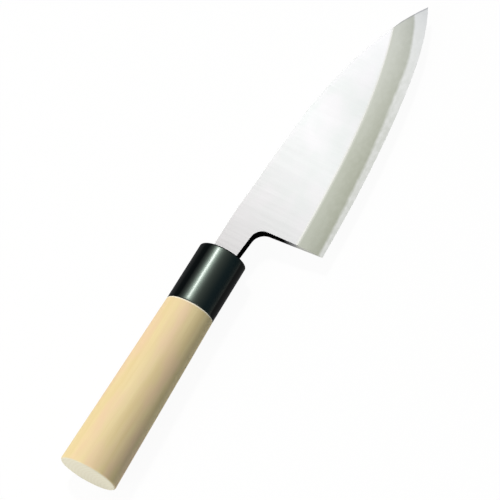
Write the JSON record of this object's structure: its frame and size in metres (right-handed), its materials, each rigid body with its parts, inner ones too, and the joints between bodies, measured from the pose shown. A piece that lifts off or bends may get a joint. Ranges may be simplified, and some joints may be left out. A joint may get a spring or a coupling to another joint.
{
  "type": "deba knife",
  "caption": "Single-bevel fish knife: thick pointed laminated blade with a hollow back, on an oval wooden handle with a black ferrule.",
  "frame": {"origin": "middle of the whole knife seen from above, level with its lowest point", "axes": "+X along the knife from the butt to the tip, +Y from the cutting edge to the spine, +Z out of the bevelled front of the blade"},
  "size_m": [0.2916, 0.0542, 0.0225],
  "materials": {
    "soft_iron": "satin ground flats, dull bevel, dark unpolished heel",
    "hard_steel": "bright honed",
    "resin": "dull",
    "black_plastic": "polished",
    "pale_wood": "sanded, unvarnished"
  },
  "bodies": {
    "root": {"iron_cladding": "soft_iron", "steel_edge": "hard_steel", "tang_resin": "resin", "ferrule": "black_plastic", "wooden_handle": "pale_wood"}
  },
  "joints": []
}
